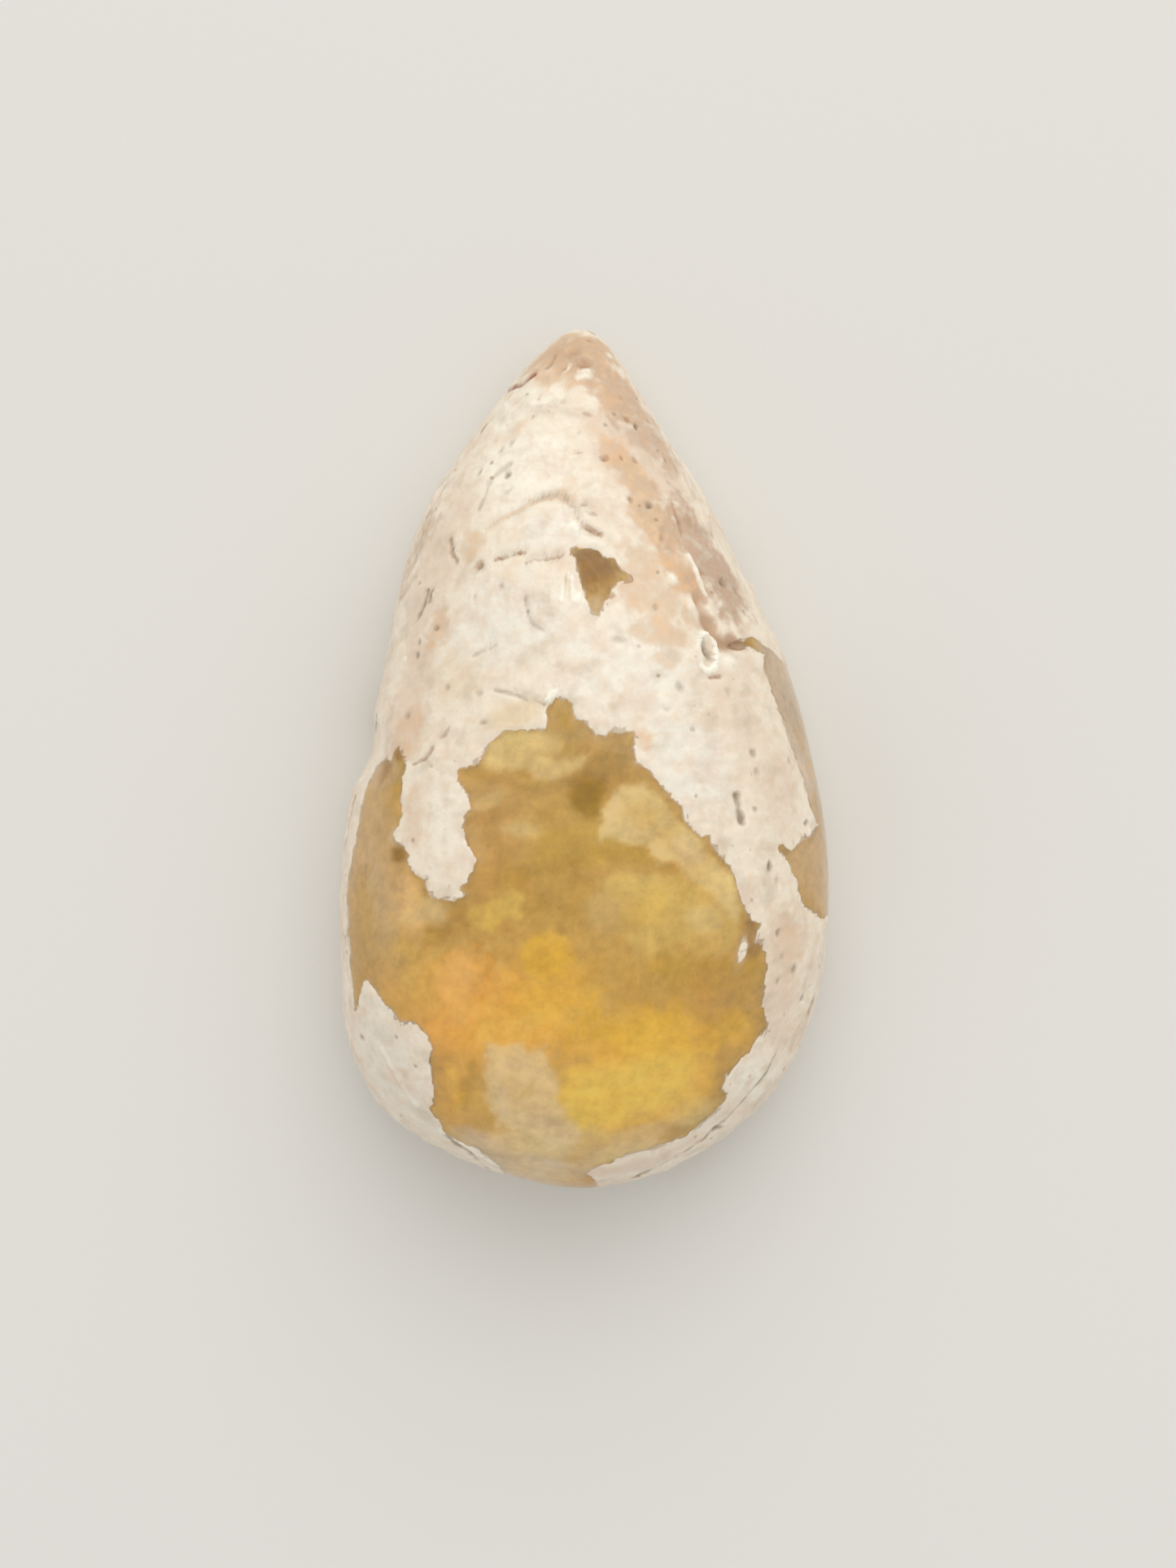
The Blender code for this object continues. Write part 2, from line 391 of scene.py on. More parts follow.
# The opal's colours as seen from in front, painted in order, given in the same way
OPAL_TONES = [
    (640, 915, 74, 24, TOP_GOLD, 0.95),
    (700, 905, 30, 20, 20, DARK_OLIVE, 0.35),
    (610, 1005, 62, 56, AMBER, 0.95),
    (720, 940, 60, 22, 8, DARK_OLIVE, 0.40),
    (700, 1030, 60, 50, MID_GOLD, 0.90),
    (600, 985, 26, 10, -20, TOP_GOLD, 0.55),
    (640, 1020, 34, 12, 10, TOP_GOLD, 0.45),
    (690, 1105, 60, 40, MID_GOLD, 0.75),
    (795, 1050, 56, 20, 12, BAND_GOLD, 0.9),
    (748, 1120, 30, 34, TOP_GOLD, 0.45),
    (560, 1120, 20, 14, 20, MID_GOLD, 0.6),
    (655, 1120, 22, 16, MID_GOLD, 0.5),
    (600, 1245, 135, 70, 4, ORANGE, 1.0),
    (690, 1225, 60, 46, YELLOW, 0.5),
    (520, 1205, 56, 50, SOFT_ORANGE, 0.95),
    (528, 1148, 36, 20, MID_GOLD, 0.75),
    (604, 1205, 22, 30, SOFT_ORANGE, 0.3),
    (576, 1222, 34, 44, FIRE, 0.22),
    (563, 1202, 25, 36, -6, FIRE, 1.0),
    (572, 1245, 26, 18, FIRE, 0.35),
    (503, 1112, 18, 50, -12, PEACH, 1.0),
    (790, 1275, 100, 44, YELLOW, 0.85),
    (866, 1197, 90, 24, 3, DARK_AMBER, 1.0),
    (912, 1225, 34, 22, AMBER, 0.8),
    (900, 1264, 32, 26, 10, YELLOW, 0.6),
    (770, 1196, 34, 16, 20, MID_GOLD, 0.4),
    (924, 1152, 15, 22, DEEP_AMBER, 1.0),
    (735, 1352, 66, 48, BRIGHT_YELLOW, 1.0),
    (800, 1325, 84, 34, -12, BRIGHT_YELLOW, 0.85),
    (730, 1290, 40, 14, 10, ORANGE, 0.45),
    (848, 1368, 36, 18, -25, KHAKI, 0.85),
    (830, 1350, 50, 24, -20, BRIGHT_YELLOW, 0.50),
    (785, 1394, 46, 14, -12, CLOUD, 0.60),
    (532, 1120, 22, 20, CLOUD, 0.75),
    (560, 1345, 40, 62, SOFT_ORANGE, 0.70),
    (578, 1336, 12, 34, 8, MID_GOLD, 0.85),
    (556, 1322, 9, 28, -10, BRIGHT_YELLOW, 0.55),
    (566, 1350, 7, 20, 20, YELLOW, 0.45),
    (640, 1404, 80, 18, 6, CLOUD, 0.80),
    (700, 1400, 70, 18, -5, KHAKI, 0.6),
    (640, 1440, 95, 24, HAZE, 0.95),
    (590, 1406, 38, 20, 24, HAZE, 0.75),
    (765, 1414, 60, 16, -12, CLOUD, 0.95),
    (800, 1428, 70, 13, -15, PINK_HAZE, 0.95),
    (455, 1060, 52, 130, DULL_TAN, 1.0),
    (468, 948, 26, 24, TAN_OPAL, 0.9),
    (440, 1135, 34, 70, HONEY, 0.8),
    (472, 1185, 34, 34, AMBER, 0.75),
    (500, 1234, 34, 24, SOFT_ORANGE, 0.9),
    (489, 1028, 11, 13, PALE_TAN, 1.0),
    (491, 1050, 13, 12, HOLE_BROWN, 0.8),
    (474, 942, 7, 22, 22, HOLE_BROWN, 0.7),
    (490, 926, 8, 10, HOLE_BROWN, 0.7),
    # The small hole: darkest at its top, partly its own brown and partly painted shadow under the rock's
    # lip, and paler at its bottom
    (728, 695, 40, 40, HOLE_BROWN, 1.0),
    (734, 746, 18, 14, PALE_TAN, 0.45),
    (694, 880, 11, 15, DARK_AMBER, 0.8),
    (697, 921, 8, 7, DARK_AMBER, 0.7),
    (958, 850, 22, 84, -18, RIM_TAN, 1.0),
    (984, 960, 18, 80, -12, RIM_PALE, 1.0),
    (904, 797, 24, 12, HOLE_BROWN, 0.75),
    (1005, 1062, 60, 62, TAN_OPAL, 1.0),
    (962, 1042, 10, 10, HOLE_BROWN, 0.6),
    (515, 650, 30, 80, 25, TAN_OPAL, 1.0),
]

# Clouds in the opal: (outline, colour, strength, how soft the edge is in pixels)
OPAL_CLOUDS = [
    ([(590, 938), (600, 928), (640, 932), (690, 936), (720, 930), (716, 941), (700, 950), (680, 960),
      (662, 956), (640, 948), (612, 946)], LIGHT_KHAKI, 0.80, 6),
    ([(620, 960), (662, 966), (690, 958), (716, 946), (736, 934), (748, 912), (766, 906), (778, 925),
      (774, 942), (756, 950), (744, 966), (738, 984), (724, 972), (700, 972), (670, 978), (640, 974)],
     DARK_OLIVE, 0.70, 6),
    ([(704, 960), (720, 950), (740, 955), (746, 975), (738, 990), (740, 1002), (722, 1008),
      (706, 998), (698, 980)], OLIVE, 0.95, 8),
    ([(610, 1076), (640, 1062), (664, 1040), (690, 1018), (722, 1014), (750, 1024), (786, 1040),
      (806, 1056), (784, 1062), (750, 1058), (724, 1066), (690, 1068), (650, 1080), (622, 1090)],
     OLIVE_GOLD, 0.70, 8),
    ([(576, 1124), (590, 1112), (612, 1106), (628, 1094), (640, 1102), (640, 1120), (622, 1130),
      (604, 1142), (584, 1140)], GREEN_GOLD, 0.90, 8),
    ([(640, 1172), (648, 1158), (664, 1146), (684, 1148), (702, 1160), (708, 1178), (694, 1196),
      (668, 1200), (646, 1192)], YELLOW, 0.95, 10),
    ([(776, 1196), (812, 1192), (850, 1182), (900, 1186), (936, 1176), (938, 1226), (900, 1232),
      (850, 1222), (806, 1230), (780, 1216)], BAND_GOLD, 0.55, 9),
    ([(740, 1030), (742, 1000), (750, 980), (765, 966), (790, 964), (815, 985), (838, 1010),
      (868, 1045), (895, 1075), (912, 1118), (905, 1132), (885, 1120), (872, 1098), (855, 1085),
      (838, 1070), (812, 1058), (795, 1040), (765, 1036)], LIGHT_KHAKI, 0.92, 7),
    ([(738, 1082), (752, 1072), (775, 1076), (800, 1082), (830, 1080), (858, 1092), (880, 1112),
      (905, 1140), (900, 1160), (885, 1176), (868, 1179), (850, 1166), (838, 1156), (825, 1160),
      (818, 1170), (800, 1179), (784, 1178), (774, 1165), (772, 1150), (756, 1136), (758, 1112),
      (744, 1100)], DEEP_KHAKI, 0.95, 7),
    ([(603, 1287), (635, 1283), (666, 1287), (670, 1302), (682, 1314), (686, 1350), (698, 1373),
      (714, 1393), (700, 1412), (672, 1400), (643, 1390), (615, 1378), (603, 1346), (599, 1314)],
     CLOUD, 0.92, 8),
]
BLOTCHES = [
    (664, 1367, 20, 17, TAN_OPAL, 0.50),
    (630, 1308, 13, 9, 20, TAN_OPAL, 0.45),
    (652, 1338, 10, 15, 30, MID_GOLD, 0.28),
    (694, 1388, 18, 10, 20, TAN_OPAL, 0.45),
    (618, 1350, 8, 22, -10, PALE_TAN, 0.40),
    (800, 1112, 26, 30, 20, BRIGHT_YELLOW, 0.30),
    (865, 1130, 24, 24, LIGHT_KHAKI, 0.50),
    (835, 1105, 9, 22, 25, MID_GOLD, 0.35),
    (785, 1000, 24, 20, BRIGHT_YELLOW, 0.25),
    (845, 1045, 22, 16, 40, PALE_TAN, 0.35),
    (822, 1022, 14, 10, MID_GOLD, 0.3),
]

# Lines on the rock: (points, half width, height, colour, strength). The raised near-white lines are pale
# flecks, ridges and rims with painted highlights on them.
LINES = [
    # Painted shadow: tan and grey lines along the arc of a small step, over a shallow groove
    ([(596, 650), (615, 638), (640, 626), (665, 611), (690, 608), (703, 622), (716, 645)],
     4, -0.06, TAN, 0.55),
    ([(650, 617), (668, 609), (690, 607), (704, 622), (712, 636)], 3, -0.05, GREY, 0.40),
    ([(715, 645), (727, 652), (737, 657)], 4, -0.09, BROWN, 0.9),
    ([(608, 687), (622, 684), (634, 680), (645, 678)], 3, -0.09, BROWN, 0.9),
    ([(646, 692), (655, 687), (670, 687), (692, 683)], 3, -0.08, BROWN, 0.75),
    ([(645, 735), (648, 755), (655, 768), (668, 775)], 3, -0.05, GREY, 0.5),
    ([(555, 664), (557, 682), (563, 692)], 3, -0.05, BROWN, 0.7),
    ([(583, 806), (598, 799), (610, 792)], 3, -0.04, GREY, 0.45),
    ([(608, 848), (640, 856), (668, 865)], 3, -0.05, GREY, 0.55),
    ([(532, 918), (524, 932), (508, 939)], 3, -0.06, BROWN, 0.6),
    ([(626, 480), (640, 472), (657, 461)], 4, -0.09, RUST, 0.95),
    ([(600, 520), (592, 530)], 3, -0.04, GREY, 0.7),
    ([(620, 497), (632, 486)], 3, 0.02, GLINT_WHITE, 0.9),
    ([(548, 592), (538, 612), (525, 636)], 3, -0.03, BROWN, 0.6),
    ([(526, 726), (521, 742), (512, 762)], 3, -0.08, GREY, 0.85),
    ([(534, 722), (528, 740)], 2.5, -0.05, GREY, 0.6),
    ([(905, 977), (908, 992), (912, 1010)], 5, -0.10, GREY, 0.9),
    # Painted highlight: raised chalk-white lines along the pale lower-left rim ridge
    ([(470, 1290), (488, 1322), (512, 1356)], 5, 0.03, CHALK, 0.6),
    ([(543, 1388), (575, 1408), (612, 1434)], 5, 0.03, CHALK, 0.8),
    ([(548, 1397), (578, 1416), (610, 1440)], 4, -0.06, GREY, 0.8),
    ([(545, 1380), (575, 1400), (600, 1418)], 2.5, -0.04, BROWN, 0.7),
    ([(612, 1430), (640, 1450), (680, 1461)], 3, -0.06, GREY, 0.85),
    ([(952, 1296), (942, 1318), (926, 1340), (905, 1362), (880, 1388), (850, 1408), (815, 1430),
      (780, 1447)], 2.5, -0.05, GREY, 0.8),
    ([(428, 1165), (433, 1200), (441, 1236)], 2.5, -0.04, BROWN, 0.7),
    ([(437, 980), (430, 1010), (424, 1045)], 3, -0.03, BROWN, 0.7),
    ([(463, 880), (462, 905)], 3, -0.04, GREY, 0.75),
    ([(452, 962), (462, 945), (475, 931)], 2.5, -0.03, BROWN, 0.6),
    ([(846, 682), (856, 702), (866, 730)], 4, 0.05, GLINT_WHITE, 0.7),
    ([(860, 738), (866, 756), (876, 776), (888, 792), (908, 794)], 9, -0.10, NECK_BROWN, 0.95),
    ([(884, 788), (896, 793), (910, 790)], 4, -0.05, BROWN, 0.85),
    ([(826, 620), (838, 655)], 3, -0.04, BROWN, 0.6),
    ([(858, 788), (863, 779), (871, 778), (878, 790), (881, 806), (878, 820), (870, 826), (862, 818),
      (858, 803), (858, 788)], 3.5, 0.08, GLINT_WHITE, 0.95),
    ([(872, 833), (884, 832)], 3, -0.06, BROWN, 0.8),
    ([(690, 718), (692, 728), (690, 738)], 3, 0.04, GLINT_WHITE, 0.9),
    ([(700, 706), (703, 720), (706, 738)], 3, 0.06, GLINT_WHITE, 0.95),
    ([(712, 730), (715, 740)], 3, 0.04, GLINT_WHITE, 0.8),
    ([(696, 708), (697, 726)], 2, -0.05, HONEY_HAZE, 0.9),
    ([(670, 863), (678, 855), (688, 850)], 3, 0.04, GLINT_WHITE, 0.95),
    ([(545, 905), (552, 892)], 3, -0.04, GREY, 0.5),
    ([(600, 595), (612, 580), (628, 568)], 4, -0.03, GREY, 0.35),
    ([(590, 625), (598, 605)], 3, -0.03, GREY, 0.4),
    ([(700, 448), (692, 460)], 3, 0.03, GLINT_WHITE, 0.6),
    ([(710, 464), (724, 462)], 5, 0.04, CHALK, 0.85),
    ([(682, 436), (676, 452)], 2.5, -0.04, BROWN, 0.6),
]

# Spots by (height, colour, strength): (column, row, half width, half height, tilt). The raised near-white
# spots are pale beads and flecks with painted highlights on them.
SPOTS = {
    (-0.05, GREY, 0.6): [
        (588, 850, 6, 5), (549, 845, 4, 5), (500, 880, 6, 4, 30), (593, 888, 8, 4),
        (615, 552, 4, 6), (924, 925, 5, 5), (962, 1175, 4, 5),
    ],
    (-0.04, GREY, 0.5): [
        (541, 906, 4, 3), (655, 512, 3, 3), (712, 533, 3, 4), (710, 555, 6, 3, 10),
        (627, 602, 6, 4, -30), (728, 632, 7, 3, 20), (870, 878, 3, 3), (851, 896, 3, 3),
    ],
    (-0.04, GREY, 0.6): [
        (616, 719, 4, 4), (583, 735, 3, 4), (590, 578, 3, 6, 20), (765, 645, 3, 3),
        (806, 747, 4, 4), (836, 843, 5, 7, -30), (975, 1190, 4, 5), (445, 1275, 4, 5),
    ],
    (-0.05, GREY, 0.7): [
        (692, 494, 3.5, 3), (744, 523, 3, 3), (927, 994, 4, 4), (955, 1145, 4, 5),
        (955, 1205, 4, 5),
    ],
    (-0.05, BROWN, 0.7): [
        (720, 509, 6, 3, 10), (782, 492, 3, 3), (771, 516, 4, 5), (832, 580, 3, 7, -30),
        (775, 614, 4, 4),
    ],
    (-0.05, BROWN, 0.8): [
        (763, 490, 3, 3), (796, 516, 3, 5), (817, 566, 4, 5), (835, 640, 4, 9, -25),
        (866, 740, 5, 5),
    ],
    (-0.05, GREY, 0.8): [
        (661, 490, 3.5, 3), (624, 585, 5, 4, -30), (718, 620, 5, 4), (970, 935, 3, 5),
    ],
    (-0.04, GREY, 0.4): [(628, 545, 6, 3, -40), (892, 850, 4, 5), (930, 948, 4, 5)],
    (-0.04, BROWN, 0.6): [(668, 420, 7, 4, -30), (861, 702, 5, 5)],
    (-0.05, BROWN, 0.9): [(724, 419, 4, 3), (764, 563, 3, 4)],
    (-0.05, DARK, 0.6): [(673, 452, 4, 3), (524, 1079, 4, 4)],
    (-0.06, GREY, 0.7): [(514, 806, 3, 4), (953, 1087, 4, 9)],
    (-0.06, BROWN, 0.9): [(782, 565, 5, 5), (814, 662, 4, 6)],
    (-0.03, GREY, 0.35): [(760, 785, 8, 5), (820, 872, 4, 4)],
    (-0.08, DARK, 0.8): [(985, 1227, 4, 5), (880, 1388, 8, 6, -40)],
    (-0.16, BROWN, 0.85): [(717, 444, 13, 9, -8)],
    (-0.07, BROWN, 0.6): [(694, 452, 8, 6, 20)],
    (-0.05, BROWN, 0.45): [(706, 434, 10, 9)],
    (-0.05, DARK, 0.85): [(727, 410, 5, 3, 30)],
    (-0.06, DARK, 0.8): [(625, 479, 5, 4)],
    (-0.20, DARK, 0.8): [(868, 798, 6, 12, -12)],
    (-0.12, BROWN, 0.9): [(589, 695, 9, 5, -20)],
    (-0.08, GREY, 0.7): [(537, 773, 4, 4)],
    (-0.06, GREY, 0.6): [(517, 790, 3, 5)],
    (-0.07, DARK, 0.75): [(781, 526, 5, 6)],
    (-0.07, BROWN, 0.9): [(743, 564, 7, 5, 10)],
    (-0.08, DARK, 0.85): [(797, 621, 5, 5)],
    (-0.08, DARK, 0.55): [(888, 715, 6, 7)],
    (-0.06, BROWN, 0.6): [(905, 728, 6, 10, -30)],
    (-0.10, DARK, 0.95): [(992, 1012, 5, 4, 20)],
    (-0.07, GREY, 0.9): [(945, 1063, 4, 8, 20)],
    (-0.18, GREY, 0.8): [(995, 1240, 9, 18, 10)],
    (-0.06, DARK, 0.9): [(629, 1434, 6, 4, 25)],
    (0.08, GLINT_WHITE, 0.8): [(722, 457, 9, 6)],
    (0.10, GLINT_WHITE, 0.85): [(706, 648, 10, 10)],
    (0.06, GLINT_WHITE, 1.0): [(682, 851, 8, 5)],
    (0.04, GLINT_WHITE, 0.9): [(681, 733, 4, 5)],
    (0.04, GLINT_WHITE, 0.7): [(532, 730, 5, 4, 20), (995, 1022, 5, 7)],
    (0.03, GLINT_WHITE, 0.8): [(498, 810, 4, 4), (434, 1152, 4, 8)],
    (0.05, GLINT_WHITE, 0.95): [(447, 1085, 5, 12)],
    (0.03, GLINT_WHITE, 0.7): [(588, 706, 6, 4, -20)],
    # Painted highlight: raised chalk-white spots on pale beads
    (0.06, CHALK, 0.85): [(731, 668, 17, 6, 8)],
    (0.09, CHALK, 0.9): [(826, 714, 9, 9)],
    (0.05, CHALK, 0.7): [(849, 742, 7, 11, -20)],
    (0.05, CHALK, 0.8): [(895, 812, 10, 10)],
    (0.04, CHALK, 0.8): [(816, 862, 8, 9, -40)],
    (0.10, CHALK, 0.5): [(922, 722, 7, 9, -30)],
}


def linear(colour):
    """A named 0 to 255 colour as the linear values that Blender works in."""
    share = np.array(colour, float) / 255.0
    return np.where(share <= 0.04045, share / 12.92, ((share + 0.055) / 1.055) ** 2.4)


def smooth(low, high, value):
    """A soft step from 0 at low to 1 at high."""
    share = np.clip((value - low) / (high - low), 0.0, 1.0)
    return share * share * (3.0 - 2.0 * share)


def rough_values(points, wave, octaves, seed):
    """Smooth noise between about -1 and 1 at each point, with bumps about one wave long."""
    shift = Vector((seed, 1.7 * seed, 2.3 * seed))
    values = [noise.fractal(Vector(point) / wave + shift, 0.9, 2.0, octaves) for point in points]
    return np.array(values)


def smooth_outline():
    """The outline as a closed smooth curve through OUTLINE from its top, with the run along it."""
    corners = np.array(OUTLINE)
    before = np.roll(corners, 1, axis=0)
    after = np.roll(corners, -1, axis=0)
    beyond = np.roll(corners, -2, axis=0)
    share = np.linspace(0.0, 1.0, CURVE_STEPS, endpoint=False)[None, :, None]
    curve = 0.5 * (
        2.0 * corners[:, None]
        + (after - before)[:, None] * share
        + (2.0 * before - 5.0 * corners + 4.0 * after - beyond)[:, None] * share**2
        + (3.0 * corners - before - 3.0 * after + beyond)[:, None] * share**3
    ).reshape(-1, 2)
    curve = np.roll(curve, -int(np.argmax(curve[:, 1])), axis=0)
    closed = np.vstack([curve, curve[:1]])
    run = np.concatenate([[0.0], np.cumsum(np.hypot(*np.diff(closed, axis=0).T))])
    return closed, run


CURVE, RUN = smooth_outline()
BOTTOM = int(np.argmin(CURVE[:, 1]))


def rim_points(turn):
    """The outline's points at shares of the way round, clockwise from the tip."""
    distance = (turn % 1.0) * RUN[-1]
    return np.stack([np.interp(distance, RUN, CURVE[:, axis]) for axis in (0, 1)], axis=1)


def dome_height(x, y):
    """The polished dome's height above the girdle."""
    right, left = CURVE[:BOTTOM + 1], CURVE[BOTTOM:]
    x_right = np.interp(-y, -right[:, 1], right[:, 0])
    x_left = np.interp(y, left[:, 1], left[:, 0])
    middle = (x_left + x_right) / 2.0
    half_width = np.maximum((x_right - x_left) / 2.0, 1e-6)
    across = np.minimum(np.abs(x - middle) / half_width, 1.0)
    towards_tip = y > CROWN_Y
    length = np.where(towards_tip, CURVE[0, 1] - CROWN_Y, CROWN_Y - CURVE[BOTTOM, 1])
    fullness = np.where(towards_tip, TOWARDS_TIP_FULLNESS, TOWARDS_BASE_FULLNESS)
    along = np.minimum(np.abs(y - CROWN_Y) / length, 1.0)
    ridge = (1.0 - along**fullness) ** (1.0 / fullness)
    section = (1.0 - across**ACROSS_FULLNESS) ** (1.0 / ACROSS_FULLNESS)
    return (DOME_HEIGHT - GIRDLE_HEIGHT) * ridge * section


def waves(x, y):
    turn = 2.0 * math.pi / WAVE_LENGTH
    return sum(
        height * np.sin(along_x * turn * x + phase) * np.cos(along_y * turn * y - phase)
        for height, along_x, along_y, phase in WAVES
    )


def reach_and_turn(sheet):
    """How far out on a square sheet each point is, and its share of the way round from the tip."""
    a, b = sheet[:, 0], sheet[:, 1]
    reach = np.maximum(np.abs(a), np.abs(b))
    wide = np.abs(a) > np.abs(b)
    safe_a = np.where(np.abs(a) > 1e-9, a, 1.0)
    safe_b = np.where(np.abs(b) > 1e-9, b, 1.0)
    angle = np.where(wide, b / safe_a, 2.0 - a / safe_b) * math.pi / 4.0
    side_x = np.where(wide, a, b) * np.cos(angle)
    side_y = np.where(wide, a, b) * np.sin(angle)
    return reach, np.arctan2(side_x, side_y) / (2.0 * math.pi)


def wrap(sheet):
    """Wraps a flat square sheet, from -1 to 1 each way, around the stone.

    Returns the points, and the same points as if the side and back were rolled out flat."""
    reach, turn = reach_and_turn(sheet)
    rim = rim_points(turn)
    ring = np.clip(reach / DOME_REACH, 0.0, 1.0)
    swing = ring**DOME_CROWDING * math.pi / 2.0
    dome_share = np.sin(swing) ** (2.0 / ACROSS_FULLNESS)
    fall = np.clip((reach - DOME_REACH) / (SIDE_REACH - DOME_REACH), 0.0, 1.0) * math.pi / 2.0
    inward = 1.0 - np.cos(fall) ** (2.0 / SIDE_FULLNESS)
    down = np.sin(fall) ** (2.0 / SIDE_FULLNESS)
    side_share = 1.0 - (1.0 - BACK_SCALE) * inward
    back = np.clip((reach - SIDE_REACH) / (1.0 - SIDE_REACH), 0.0, 1.0)
    back_share = BACK_SCALE + (BACK_HOLE - BACK_SCALE) * back
    share = np.where(reach < DOME_REACH, dome_share, np.where(reach < SIDE_REACH, side_share, back_share))

    place = CENTRE + share[:, None] * (rim - CENTRE)
    x, y = place.T
    towards_tip = np.maximum(0.0, np.where(reach < DOME_REACH, y, rim[:, 1])) / (LENGTH / 2.0)
    girdle = GIRDLE_HEIGHT - TIP_GIRDLE_DROP * towards_tip
    dome = girdle + dome_height(x, y) * (ring < 1.0) + waves(x, y) * (1.0 - dome_share**4)
    z = np.where(reach < DOME_REACH, dome, girdle * (1.0 - down))
    z = np.where(reach >= SIDE_REACH, 0.0, z)

    step = np.maximum(0.0, 1.0 - ((x - STEP_PLACE[0]) ** 2 + (y - STEP_PLACE[1]) ** 2) / STEP_REACH**2)
    x = x + STEP_DEPTH * step**2 * np.minimum(1.0, z / GIRDLE_HEIGHT)
    points = np.stack([x, y, z], axis=1)

    outward = (rim - CENTRE) / np.linalg.norm(rim - CENTRE, axis=1)[:, None]
    past_rim = (reach > DOME_REACH) * ((girdle - z) + np.linalg.norm(rim - place, axis=1))
    rolled = np.where((reach > DOME_REACH)[:, None], rim + outward * past_rim[:, None], points[:, :2])
    height = np.where(reach > DOME_REACH, GIRDLE_HEIGHT, z)
    return points, np.column_stack([rolled, height])


def photo_places(points):
    """The photograph's columns and rows for points as the camera sees them."""
    nearer = CAMERA_DISTANCE / (CAMERA_DISTANCE - (points[:, 2] - GIRDLE_HEIGHT)) / MM_PER_PIXEL
    column = PHOTO_MIDDLE[0] + (points[:, 0] - AIM[0]) * nearer
    row = PHOTO_MIDDLE[1] - (points[:, 1] - AIM[1]) * nearer
    return np.stack([column, row], axis=1)


def edge_gap(places, start, end):
    """Squared distance from each place to a straight edge."""
    edge = end - start
    to_place = places - start
    share = np.clip(to_place @ edge / (edge @ edge), 0.0, 1.0)
    gap = to_place - share[:, None] * edge
    return np.einsum("ij,ij->i", gap, gap)


def inside_distance(places, outline):
    """Distance from each place to a closed outline, in pixels: positive inside it."""
    corners = np.array(outline, float)
    nearest = np.full(len(places), 1e9)
    inside = np.zeros(len(places), bool)
    for start, end in zip(corners, np.roll(corners, -1, axis=0)):
        edge = end - start
        nearest = np.minimum(nearest, edge_gap(places, start, end))
        crosses = (start[1] > places[:, 1]) != (end[1] > places[:, 1])
        slope = edge[0] / edge[1] if edge[1] else 0.0
        inside ^= crosses & (places[:, 0] < start[0] + slope * (places[:, 1] - start[1]))
    return np.sqrt(nearest) * np.where(inside, 1.0, -1.0)


def stroke_distance(places, points):
    """Distance in pixels from each place to a line drawn through points."""
    nearest = np.full(len(places), 1e9)
    line = np.array(points, float)
    for start, end in zip(line[:-1], line[1:]):
        nearest = np.minimum(nearest, edge_gap(places, start, end))
    return np.sqrt(nearest)


def oval_distance(places, column, row, half_width, half_height, tilt=0.0, height=0.0):
    """Distance from an oval's middle, counted so that 1 is its edge. Tilt is clockwise in degrees.

    Places with a third value, their height, are measured through space from an oval at a height."""
    angle = math.radians(tilt)
    across = places[:, 0] - column
    down = places[:, 1] - row
    along = across * math.cos(angle) + down * math.sin(angle)
    aside = down * math.cos(angle) - across * math.sin(angle)
    up = (places[:, 2] - height) / min(half_width, half_height) if places.shape[1] == 3 else 0.0
    return np.sqrt((along / half_width) ** 2 + (aside / half_height) ** 2 + up**2)


def grid_mesh(name, cells, closed):
    """A flat square grid, from -1 to 1 each way, with one face across its rim if it is closed."""
    form = bmesh.new()
    bmesh.ops.create_grid(form, x_segments=cells[0], y_segments=cells[1], size=1.0)
    if closed:
        edges = [edge for edge in form.edges if edge.is_boundary]
        bmesh.ops.holes_fill(form, edges=edges, sides=0)
    mesh = bpy.data.meshes.new(name)
    form.to_mesh(mesh)
    form.free()
    return mesh


def read_vectors(items, name):
    values = np.empty(len(items) * 3)
    items.foreach_get(name, values)
    return values.reshape(-1, 3)


